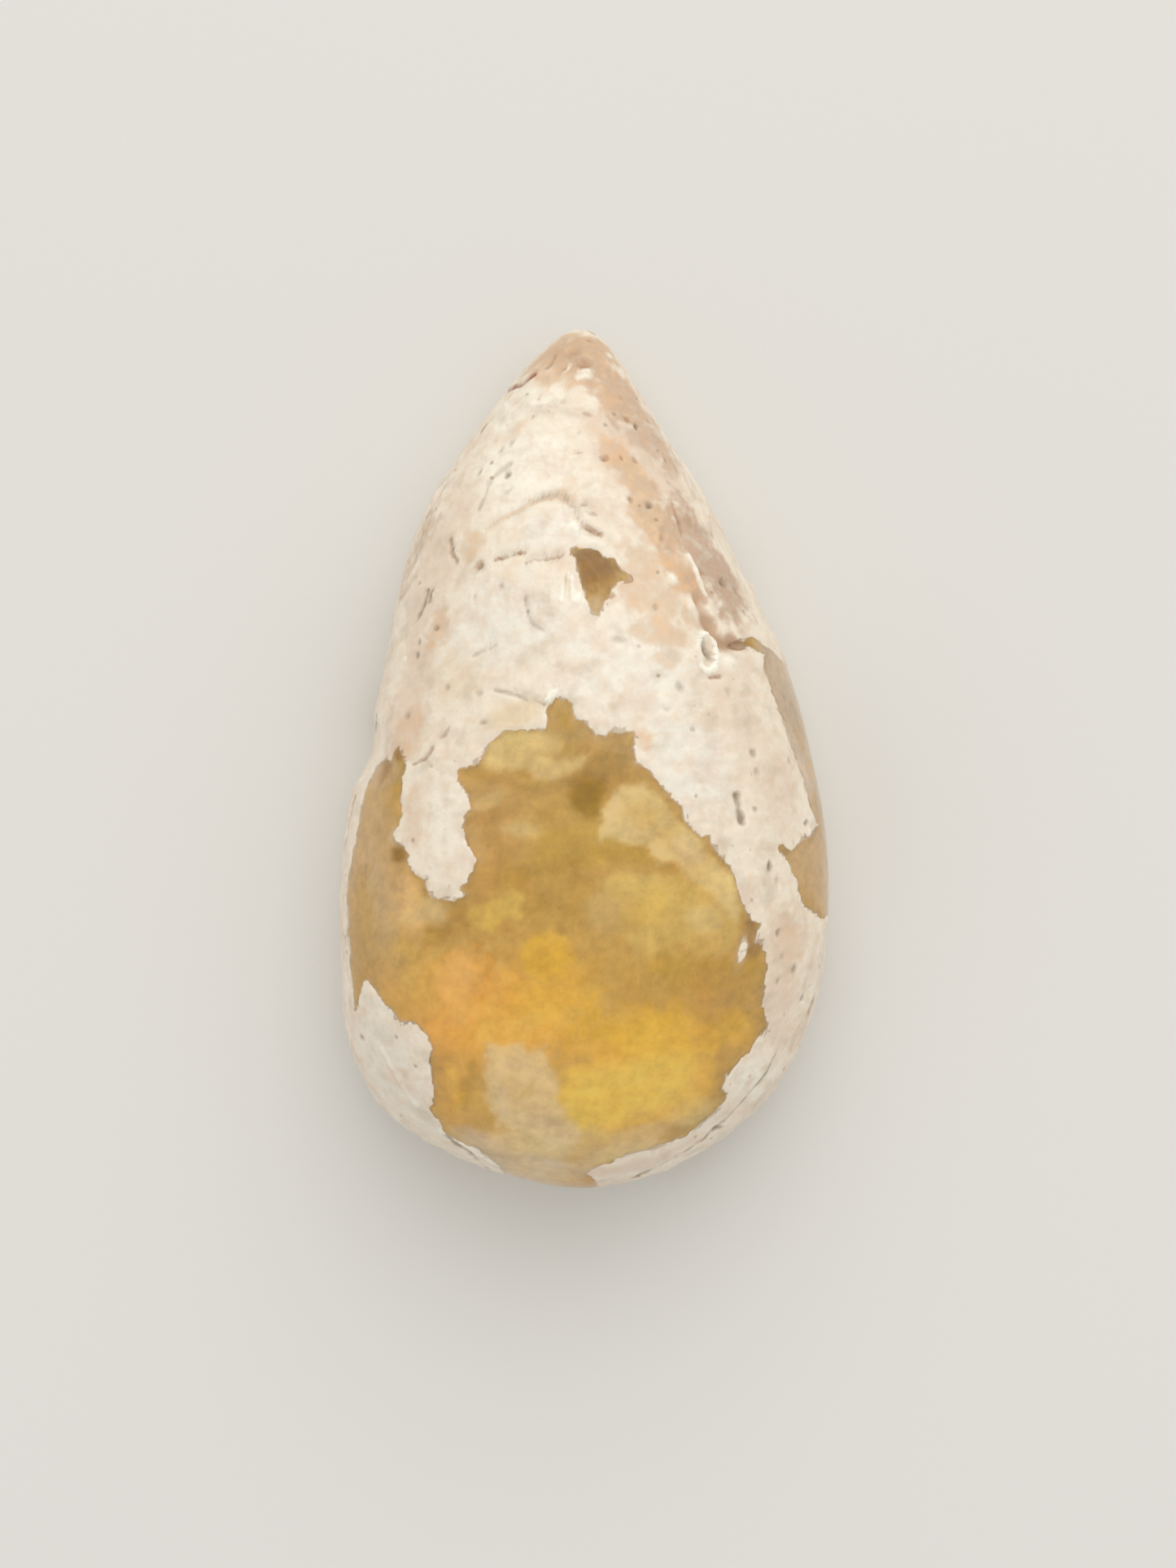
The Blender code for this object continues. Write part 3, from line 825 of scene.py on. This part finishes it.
class Surface:
    """A sheet wrapped around the stone, with what is known at each of its points."""

    def __init__(self, name, cells):
        self.mesh = grid_mesh(name, cells, closed=True)
        self.base, rolled = wrap(read_vectors(self.mesh.vertices, "co"))
        self.place(self.base)
        self.mesh.update()
        self.normals = self.read_normals()
        self.places = photo_places(rolled)
        self.spots = np.column_stack([self.places, rolled[:, 2] / MM_PER_PIXEL])
        self.top = rolled[:, 2] > GIRDLE_HEIGHT
        self.broad = rough_values(self.base, 1.6, 3, 14.2)
        self.coarse = rough_values(self.base, 0.45, 3, 3.1)
        self.fine = rough_values(self.base, 0.16, 3, 8.4)

    def mixed(self, shares):
        """The broad, coarse and fine noise added up, each times its share."""
        return shares[0] * self.broad + shares[1] * self.coarse + shares[2] * self.fine

    def read_normals(self):
        normals = read_vectors(self.mesh.vertex_normals, "vector")
        middle = self.base.mean(axis=0)
        outward = np.einsum("ij,ij->i", normals, self.base - middle).sum() > 0.0
        if not outward:
            self.mesh.flip_normals()
            normals = -normals
        return normals

    def place(self, points):
        self.mesh.vertices.foreach_set("co", (points * MM).ravel())

    def height_at(self, column, row):
        """The surface's height, in pixels, where the camera sees this column and row."""
        gap = np.hypot(self.places[:, 0] - column, self.places[:, 1] - row)
        return self.spots[int(np.argmin(gap)), 2]

    def on_surface(self, points):
        return [(column, row, self.height_at(column, row)) for column, row in points]

    def oval_away(self, oval):
        """Distance from an oval's middle along the surface, counted so that 1 is its edge."""
        return oval_distance(self.spots, *oval, height=self.height_at(*oval[:2]))

    def opal_reach(self):
        """How far inside the opal each point is, in millimetres: negative in the rock.

        The first is to the ragged edge, and the second to the plain outline."""
        reach = np.full(len(self.places), -1e9)
        for outline in OPAL_OUTLINES:
            reach = np.maximum(reach, inside_distance(self.places, outline))
        plain = reach / np.where(self.top, np.clip(self.normals[:, 2], LEAST_UPRIGHT, 1.0), 1.0)
        steep = 1.0 - np.clip(self.normals[:, 2], 0.0, 1.0)
        reach = plain
        for wobble, (level, more) in zip((self.fine, self.coarse, self.broad), EDGE_WOBBLE):
            reach = reach + (level + more * steep) * wobble
        for column, row, half_width, half_height, tilt in ROCK_ISLANDS:
            away = oval_distance(self.places, column, row, half_width, half_height, tilt)
            beyond = (away - 1.0) * min(half_width, half_height)
            plain = np.minimum(plain, beyond)
            reach = np.minimum(reach, beyond + ISLAND_WOBBLE * self.fine)
        return reach * MM_PER_PIXEL, plain * MM_PER_PIXEL

    def mark(self):
        """The nearest line or spot at each point.

        Returns how far inside it the point is, from 1 in its middle through 0 at its edge to -2, then
        its colour and strength, and the height of all of them together in millimetres."""
        inside = np.full(len(self.places), -2.0)
        colours = np.tile(np.append(linear(GREY), 0.0), (len(self.places), 1))
        height = np.zeros(len(self.places))
        marks = [
            (1.0 - stroke_distance(self.spots, self.on_surface(points)) / half_width, rise, colour, strength)
            for points, half_width, rise, colour, strength in LINES
        ]
        marks += [
            (1.0 - self.oval_away(oval), rise, colour, strength)
            for (rise, colour, strength), ovals in SPOTS.items()
            for oval in ovals
        ]
        for here, rise, colour, strength in marks:
            height += rise * smooth(*MARK_FADE, here + MARK_WOBBLE * self.fine)
            nearer = here > inside
            colours[nearer] = np.append(linear(colour), strength)
            inside = np.maximum(inside, here)
        return inside, colours, height

    def finish(self, points, material):
        self.place(points)
        self.mesh.polygons.foreach_set("use_smooth", np.ones(len(self.mesh.polygons), bool))
        self.mesh.materials.append(material)
        self.mesh.update()
        piece = bpy.data.objects.new(self.mesh.name, self.mesh)
        bpy.context.scene.collection.objects.link(piece)
        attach(piece, "root")
        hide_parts(NODE)


def pocket_depth(surface, reach, plain_reach):
    """How deep the rock lies under the polished opal, in millimetres."""
    depth = np.full(len(reach), USUAL_DEPTH)
    for *oval, target, softness in DEPTHS:
        away = oval_distance(surface.places, *oval) + surface.mixed(DEPTH_WOBBLE)
        share = 1.0 - smooth(1.0 - softness / 2.0, 1.0 + softness / 2.0, away)
        depth += share * (target - depth)
    for outline, _, _, _ in OPAL_CLOUDS:
        inside = inside_distance(surface.places, outline) + surface.mixed(CLOUD_DEPTH_WOBBLE)
        depth += smooth(-CLOUD_SLOPE, CLOUD_SLOPE, inside) * (CLOUD_DEPTH - depth)
    depth *= 1.0 + surface.mixed(DEPTH_CHANGE)
    depth = SHALLOW + (depth - SHALLOW) * smooth(0.0, POCKET_RAMP, plain_reach)
    return depth * smooth(0.0, EDGE_WIDTH, reach)


def inward_directions(surface):
    """The way the pockets go: straight down from the dome's top, and into the stone at its sides."""
    upright = smooth(*UPRIGHT, surface.normals[:, 2])
    ways = surface.normals * np.column_stack([1.0 - upright, 1.0 - upright, np.ones(len(upright))])
    return -ways / np.linalg.norm(ways, axis=1)[:, None]


def patch_share(surface, oval, strength, wobble, along_surface=False):
    """How much of a soft oval patch is at each point, measured in the photograph or along the rock."""
    if along_surface:
        away = surface.oval_away(oval)
    else:
        away = oval_distance(surface.places, *oval)
    away = away + wobble * (surface.coarse + 0.5 * surface.fine)
    return strength * (1.0 - smooth(*PATCH_FADE, away))


def paint(colours, surface, patches, wobble, along_surface=False):
    """Lays soft oval patches over the colours."""
    for *oval, colour, strength in patches:
        share = patch_share(surface, oval, strength, wobble, along_surface)
        colours += share[:, None] * (linear(colour) - colours)


def plain_colours(surface, colour):
    return np.tile(linear(colour), (len(surface.places), 1))


def stain_colours(surface):
    """The colour of the stains at each point, and how strong they are there."""
    stains = plain_colours(surface, TAN)
    amount = np.full(len(surface.places), USUAL_STAIN)
    for *oval, colour, strength in STAINS:
        share = patch_share(surface, oval, strength, ROCK_WOBBLE, along_surface=True)
        stains += (share / np.maximum(share + amount, 1e-6))[:, None] * (linear(colour) - stains)
        amount = np.maximum(amount, share)
    return np.column_stack([stains, amount])


def opal_tones(surface):
    """The opal's colours as seen from in front."""
    tones = plain_colours(surface, HONEY)
    paint(tones, surface, OPAL_TONES, TONE_WOBBLE)
    for outline, colour, strength, softness in OPAL_CLOUDS:
        inside = inside_distance(surface.places, outline) + surface.mixed(CLOUD_WOBBLE)
        share = strength * smooth(-softness, softness, inside) * (1.0 + CLOUD_CHANGE * surface.broad)
        tones += share[:, None] * (linear(colour) - tones)
    paint(tones, surface, BLOTCHES, ROCK_WOBBLE)
    return tones * (BRIGHTNESS + surface.mixed(MOTTLE))[:, None]


def floor_colours(tones, depth):
    """The rock colours that show these tones through this depth of opal.

    Light crosses the opal twice, and part of it is turned back at the surface and crosses again."""
    tones = np.maximum(tones - SURFACE_GLOSS, 0.0)
    lost = (1.0 - np.array(OPAL_CLEARNESS)) * OPAL_DENSITY * MM
    clear = np.exp(-lost * LIGHT_PATH * depth[:, None])
    sent_up = tones / (LET_IN * (1.0 - TURNED_BACK) + TURNED_BACK * tones)
    return np.clip(sent_up / clear, 0.0, FLOOR_MOST)


def set_colours(mesh, name, colours):
    """Keeps colours on the mesh, with a strength as their alpha where it is given."""
    if colours.shape[1] == 3:
        colours = np.column_stack([colours, np.ones(len(colours))])
    layer = mesh.color_attributes.new(name, "FLOAT_COLOR", "POINT")
    layer.data.foreach_set("color", np.clip(colours, 0.0, 1.0).ravel())


def set_values(mesh, name, values):
    layer = mesh.attributes.new(name, "FLOAT", "POINT")
    layer.data.foreach_set("value", values)


def new_material(name):
    material = bpy.data.materials.new(name)
    material.use_nodes = True
    return material, material.node_tree.nodes, material.node_tree.links


def set_inputs(node, values):
    for name, value in values.items():
        node.inputs[name].default_value = value


class Nodes:
    """Adds shader nodes to a material and joins them."""

    def __init__(self, name):
        self.material, self.nodes, self.links = new_material(name)
        self.shader = self.nodes["Principled BSDF"]
        self.place = self.nodes.new("ShaderNodeTexCoord").outputs["Object"]

    def set(self, socket, value):
        if isinstance(value, bpy.types.NodeSocket):
            self.links.new(value, socket)
        else:
            socket.default_value = value

    def add(self, kind, inputs):
        node = self.nodes.new("ShaderNode" + kind)
        for name, value in inputs.items():
            self.set(node.inputs[name], value)
        return node

    def attribute(self, name):
        node = self.nodes.new("ShaderNodeAttribute")
        node.attribute_name = name
        return node.outputs

    def noise(self, size, detail=4.0, roughness=0.55):
        """Noise with bumps about this size in millimetres."""
        inputs = {"Vector": self.place, "Scale": 1.0 / (size * MM), "Detail": detail, "Roughness": roughness}
        return self.add("TexNoise", inputs).outputs["Fac"]

    def cells(self, size):
        """Random cells about this size: how far from the middle of one, and its own random value."""
        node = self.add("TexVoronoi", {"Vector": self.place, "Scale": 1.0 / (size * MM)})
        split = self.add("SeparateColor", {"Color": node.outputs["Color"]})
        return node.outputs["Distance"], split.outputs["Red"]

    def maths(self, operation, first, second):
        node = self.nodes.new("ShaderNodeMath")
        node.operation = operation
        self.set(node.inputs[0], first)
        self.set(node.inputs[1], second)
        return node.outputs["Value"]

    def add_up(self, *parts):
        """Values added up, each times its share."""
        total = 0.0
        for value, share in parts:
            total = self.maths("ADD", total, self.maths("MULTIPLY", value, share))
        return total

    def spread(self, value, low, high, to_low=0.0, to_high=1.0):
        """Turns low to high into to_low to to_high, and holds it there beyond them."""
        inputs = {"Value": value, "From Min": low, "From Max": high, "To Min": to_low, "To Max": to_high}
        return self.add("MapRange", inputs).outputs["Result"]

    def blend(self, share, first, second, kind="MIX"):
        node = self.nodes.new("ShaderNodeMix")
        node.data_type = "RGBA"
        node.blend_type = kind
        self.set(node.inputs["Factor"], share)
        self.set(node.inputs["A"], first)
        self.set(node.inputs["B"], second)
        return node.outputs["Result"]


def shader_colour(colour):
    return (*linear(colour), 1.0)


def stained_rock(nodes, stain, grain, lumps, mottle):
    """The rock's own colours, with stains that break up into grains."""
    rock = nodes.attribute("rock")["Color"]
    warm = nodes.spread(mottle, 0.48, 0.70, 0.0, 0.80)
    rock = nodes.blend(warm, rock, shader_colour(PINK_BEIGE))
    cool = nodes.spread(nodes.noise(0.55, 3.0, 0.5), 0.52, 0.72, 0.0, 0.55)
    rock = nodes.blend(cool, rock, shader_colour(WARM_GREY))
    breaks = nodes.add_up((lumps, 1.2), (grain, 0.5))
    cover = nodes.spread(nodes.maths("ADD", stain["Alpha"], breaks), 1.10, 1.80, 0.0, 0.92)
    stained = nodes.blend(1.0, stain["Color"], nodes.spread(lumps, 0.35, 0.65, 0.86, 1.10), "MULTIPLY")
    return nodes.blend(cover, rock, stained)


def pores(nodes, stain, grain):
    """Small pores, which are more common in a stain."""
    middle, chance = nodes.cells(0.42)
    pore = nodes.spread(nodes.add_up((middle, 1.0), (grain, 0.16)), 0.15, 0.24, 1.0, 0.0)
    often = nodes.add_up((chance, 1.0), (stain["Alpha"], 0.55))
    return nodes.maths("MULTIPLY", pore, nodes.spread(often, 0.86, 0.96, 0.0, 0.60))


def marked_rock(nodes, rock, grain):
    """The rock with the colours of its lines and spots, which noise breaks up."""
    near = nodes.maths("ADD", nodes.attribute("mark")["Fac"], nodes.spread(grain, 0.3, 0.7, -0.12, 0.12))
    near = nodes.maths("ADD", near, nodes.spread(nodes.noise(0.45, 2.0), 0.35, 0.65, -0.6, 0.4))
    mark = nodes.attribute("mark_colour")
    share = nodes.maths("MULTIPLY", nodes.spread(near, -0.45, 0.70), mark["Alpha"])
    rock = nodes.blend(share, rock, mark["Color"])
    return nodes.blend(1.0, rock, nodes.spread(grain, 0.3, 0.7, 0.95, 1.03), "MULTIPLY")


def smoky_floor(nodes, grain, lumps, mottle):
    """The colours under the opal, with a smoky change of brightness."""
    smoke = nodes.add_up((lumps, 0.6), (mottle, 0.4))
    floor = nodes.attribute("floor")["Color"]
    floor = nodes.blend(1.0, floor, nodes.spread(smoke, 0.34, 0.66, 0.84, 1.14), "MULTIPLY")
    return nodes.blend(1.0, floor, nodes.spread(grain, 0.3, 0.7, 0.97, 1.03), "MULTIPLY")


def matrix_material():
    """Polished volcanic rock, with broken stains, pores and grain, and the colours under the opal."""
    nodes = Nodes("matrix_rock")
    grain = nodes.noise(0.10, 4.0)
    lumps = nodes.noise(0.32, 4.0, 0.6)
    mottle = nodes.noise(0.85, 5.0, 0.6)
    stain = nodes.attribute("stain")
    rock = stained_rock(nodes, stain, grain, lumps, mottle)
    pore = pores(nodes, stain, grain)
    rock = marked_rock(nodes, nodes.blend(pore, rock, shader_colour(BROWN)), grain)
    floor = smoky_floor(nodes, grain, lumps, mottle)
    inside = nodes.spread(nodes.attribute("inside")["Fac"], 0.0, 0.03)
    nodes.set(nodes.shader.inputs["Base Color"], nodes.blend(inside, rock, floor))
    nodes.set(nodes.shader.inputs["Roughness"], nodes.spread(lumps, 0.3, 0.7, 0.26, 0.46))

    height = nodes.add_up((lumps, 0.6), (pore, -0.8), (grain, 0.3))
    bump = nodes.add("Bump", {"Strength": 0.60, "Distance": 0.03 * MM, "Height": height})
    nodes.set(nodes.shader.inputs["Normal"], bump.outputs["Normal"])
    return nodes.material


def opal_material():
    """Clear honey-coloured opal."""
    material, nodes, links = new_material("honey_opal")
    clear = {"Base Color": (1.0, 1.0, 1.0, 1.0), "Roughness": 0.03, "IOR": 1.42, "Transmission Weight": 1.0}
    set_inputs(nodes["Principled BSDF"], clear)
    depth = nodes.new("ShaderNodeVolumeAbsorption")
    set_inputs(depth, {"Color": (*OPAL_CLEARNESS, 1.0), "Density": OPAL_DENSITY})
    links.new(depth.outputs["Volume"], nodes["Material Output"].inputs["Volume"])
    return material


def make_matrix():
    """The rock, with pockets sunk into it under the opal."""
    surface = Surface("matrix", MATRIX_CELLS)
    reach, plain_reach = surface.opal_reach()
    depth = pocket_depth(surface, reach, plain_reach)
    mark, mark_colours, relief = surface.mark()
    proud = np.clip(-reach * EDGE_SLOPE, 0.0, PROUD)
    sunk = np.clip(reach * EDGE_SLOPE, 0.0, PROUD) + depth
    height = proud + (relief + surface.mixed(RELIEF)) * smooth(0.0, RELIEF_REACH, -reach)
    points = surface.base + height[:, None] * surface.normals
    points += (sunk * (reach > 0.0))[:, None] * inward_directions(surface)
    points[:, 2] = np.maximum(points[:, 2], 0.0)

    rock = plain_colours(surface, CREAM)
    paint(rock, surface, TINTS, ROCK_WOBBLE, along_surface=True)
    tones = opal_tones(surface)
    edge = EDGE_HAZE * (1.0 - smooth(0.0, EDGE_FADE, reach))
    tones += edge[:, None] * (linear(HONEY_HAZE) - tones)
    set_colours(surface.mesh, "rock", rock)
    set_colours(surface.mesh, "stain", stain_colours(surface))
    set_colours(surface.mesh, "mark_colour", mark_colours)
    set_values(surface.mesh, "mark", mark)
    set_colours(surface.mesh, "floor", floor_colours(tones, depth))
    set_values(surface.mesh, "inside", reach)
    surface.finish(points, matrix_material())


def make_opal():
    """The opal: a polished skin where it shows, and just under the rock elsewhere."""
    surface = Surface("opal", OPAL_CELLS)
    reach, _ = surface.opal_reach()
    _, _, relief = surface.mark()
    under = smooth(*SINKING, -reach)
    height = -HIDDEN * under + np.minimum(relief, 0.0) * PIT_SHARE * smooth(*PIT_REACH, -reach)
    points = surface.base + height[:, None] * surface.normals
    points[:, 2] = np.maximum(points[:, 2], ABOVE_BACK * under)
    surface.finish(points, opal_material())


def make_floor():
    mesh = grid_mesh("pale_floor", (1, 1), closed=False)
    floor = bpy.data.objects.new("pale_floor", mesh)
    floor.location.z = -0.02 * MM
    bpy.context.scene.collection.objects.link(floor)
    material, nodes, _ = new_material("pale_paper")
    paper = {"Base Color": shader_colour(PAPER), "Roughness": 0.9, "Specular IOR Level": 0.2}
    set_inputs(nodes["Principled BSDF"], paper)
    mesh.materials.append(material)
    floor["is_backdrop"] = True


def add_area_light(name, place, size, power, colour):
    light = bpy.data.lights.new(name, "AREA")
    light.shape = "DISK"
    light.size = size
    light.energy = power
    light.color = colour
    holder = bpy.data.objects.new(name, light)
    holder.location = place
    holder.rotation_euler = (-Vector(place)).to_track_quat("-Z", "Y").to_euler()
    holder.visible_camera = False
    bpy.context.scene.collection.objects.link(holder)


def light_scene():
    world = bpy.data.worlds.new("soft_studio")
    bpy.context.scene.world = world
    world.use_nodes = True
    set_inputs(world.node_tree.nodes["Background"], {"Color": SKY_COLOUR, "Strength": SKY_STRENGTH})
    for size, power in WINDOW_LAYERS:
        add_area_light("soft_window", WINDOW_PLACE, size, power, WINDOW_COLOUR)


def add_camera():
    camera = bpy.data.cameras.new("camera")
    camera.lens = CAMERA_LENS
    camera.sensor_width = SENSOR
    camera.clip_start = 0.001
    camera.clip_end = 10.0
    holder = bpy.data.objects.new("camera", camera)
    holder.location = (AIM[0] * MM, AIM[1] * MM, (CAMERA_DISTANCE + GIRDLE_HEIGHT) * MM)
    bpy.context.scene.collection.objects.link(holder)
    bpy.context.scene.camera = holder


def write_size(size_after):
    def plain(box):
        return [list(map(float, corner)) for corner in box]


make_matrix()
make_opal()
make_floor()
light_scene()
add_camera()
bpy.context.scene.view_settings.view_transform = "Standard"
bpy.context.scene.cycles.blur_glossy = 0.0
write_size(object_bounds())
